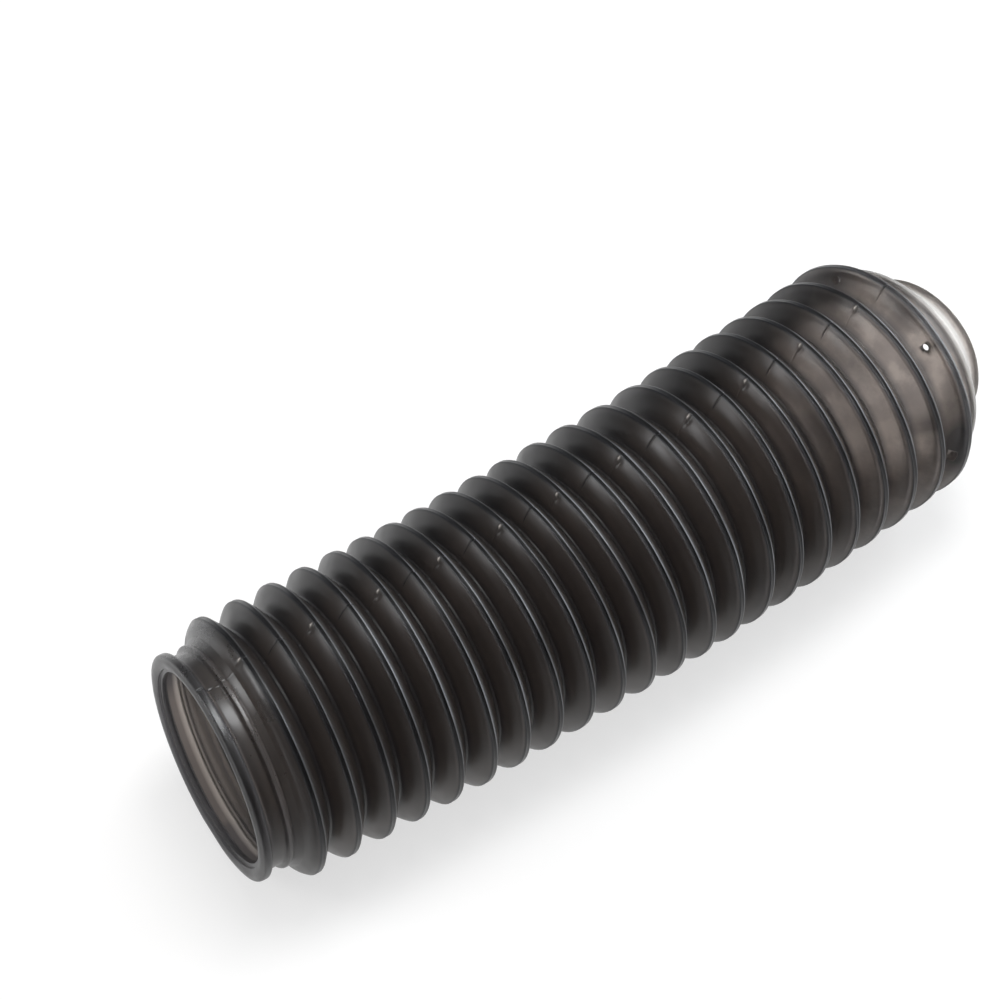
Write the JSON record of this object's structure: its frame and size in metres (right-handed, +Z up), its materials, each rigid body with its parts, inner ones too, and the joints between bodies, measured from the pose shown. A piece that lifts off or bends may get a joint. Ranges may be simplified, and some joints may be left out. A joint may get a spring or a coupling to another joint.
{
  "type": "fork gaiter",
  "caption": "Ribbed rubber fork gaiter, a bellows sleeve with a large clamp cuff at one end and a smaller clamp cuff at the other, lying on its side with a slight bow.",
  "frame": {"origin": "on the surface that the gaiter lies on, under the middle of its bounding box", "axes": "+X along the gaiter from the large cuff to the small cuff, +Z up, the bow's ends curve towards +Y"},
  "size_m": [0.2694, 0.0852, 0.0792],
  "materials": {
    "rubber": "satin smoke-grey moulded rubber, slightly translucent where thin"
  },
  "bodies": {
    "root": {"gaiter": "rubber"}
  },
  "joints": []
}
